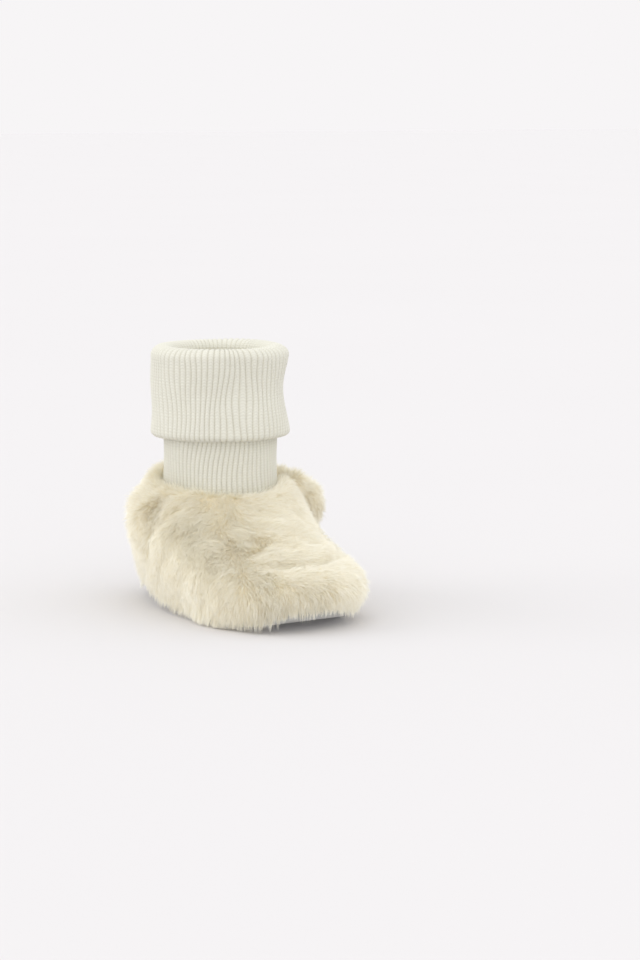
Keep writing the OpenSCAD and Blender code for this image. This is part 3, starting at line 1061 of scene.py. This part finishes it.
def make_side_seams():
    for name, side in (("left_side_seam", -1), ("right_side_seam", 1)):
        s = np.linspace(0.03, 0.97, 26)
        a = side * seam_angle(s)
        centres = sample(SKIN, a % FULL, s)
        facing = sample(SKIN_FACING, a % FULL, s)
        around = sample(SKIN_AROUND, a % FULL, s)
        stitches(name + "_stitches", centres - facing * 0.3, around, facing, 2.6, 0.28, name)


def make_collar_seam():
    a = np.linspace(0, FULL, 90, endpoint=False)
    reach = TUBE_R + 1.8
    z = COLLAR_FRONT + COLLAR_RISE * (1 - np.cos(a)) / 2 - 2.3
    centres = np.stack([reach * np.sin(a), ANKLE_Y - reach * np.cos(a), z], -1)
    inward = -np.stack([np.sin(a), -np.cos(a), 0 * a], -1)
    up = np.zeros_like(inward) + [0.25, 0, 1]
    stitches("collar_stitches", centres, unit(up), inward, 3.4, 0.3, "collar_seam")


def make_rib_seam():
    z = np.arange(TUBE_LOW[2] + 1.5, TUBE_HIGH[2] - 6, 1.6)
    reach = TUBE_R - 1.35
    centres = np.stack([0 * z, ANKLE_Y + reach + 0 * z, z], -1)
    headings = unit(np.zeros_like(centres) + [1, 0, 0.3])
    out = np.zeros_like(centres) + [0, 1, 0]
    piece = stitches("rib_seam_stitches", centres, headings, out, 4.4, 0.2, "rib_back_seam", body=None)
    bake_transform(piece)


make_sole_seam()
make_side_seams()
make_collar_seam()
make_rib_seam()


# ---- Studio ----

CEILING = 1.10
WHITE = (1.0, 1.0, 1.0, 1.0)
WALL = (0.93 / CEILING, 0.913 / CEILING, 0.921 / CEILING, 1.0)
WALL_TOP, CEILING_EDGE = 0.10, 0.35
LIGHT_BOUNCES = 24
FLOOR_REACH = 12000.0
FLOOR_LEVEL = -0.02


def make_floor():
    ways = ((-1, -1), (1, -1), (1, 1), (-1, 1))
    corners = np.array([[x * FLOOR_REACH, y * FLOOR_REACH, FLOOR_LEVEL] for x, y in ways])
    places = np.array([[[0, 0], [1, 0], [1, 1], [0, 1]]], float)
    floor = make_mesh("floor", corners, [np.array([[0, 1, 2, 3]])], floor_material(), [places])


def make_sun(name, azimuth, elevation, strength, softness, shadows=True):
    """A broad soft light that comes from an azimuth round the bootie and a height, in degrees."""
    data = bpy.data.lights.new(name, "SUN")
    data.energy, data.angle = strength, math.radians(softness)
    data.use_shadow = shadows
    light = bpy.data.objects.new(name, data)
    bpy.context.collection.objects.link(light)
    turn, rise = math.radians(azimuth), math.radians(elevation)
    towards = Vector((math.sin(turn) * math.cos(rise), -math.cos(turn) * math.cos(rise), math.sin(rise)))
    light.rotation_euler = towards.to_track_quat("Z", "Y").to_euler()


def make_studio():
    make_floor()
    world = bpy.data.worlds.new("studio")
    bpy.context.scene.world = world
    world.use_nodes = True
    sky = NodeTree(world.node_tree)
    direction = sky.node("ShaderNodeTexCoord")
    height = sky.node("ShaderNodeSeparateXYZ", inputs={"Vector": direction}, output=2)
    stops = ((WALL_TOP, WALL), (CEILING_EDGE, WHITE))
    shade = sky.node("ShaderNodeValToRGB", {"stops": stops}, {"Fac": height})
    background = world.node_tree.nodes["Background"]
    sky.put(background.inputs["Color"], shade)
    sky.put(background.inputs["Strength"], CEILING)
    make_sun("left_softbox", -126, 26, 0.66, 50)
    make_sun("right_softbox", 62, 30, 0.18, 60)
    make_sun("front_fill", -32, 42, 0.6, 80, shadows=False)
    bpy.context.scene.view_settings.view_transform = "Standard"
    bpy.context.scene.cycles.max_bounces = LIGHT_BOUNCES
    bpy.context.scene.cycles.diffuse_bounces = LIGHT_BOUNCES


make_studio()
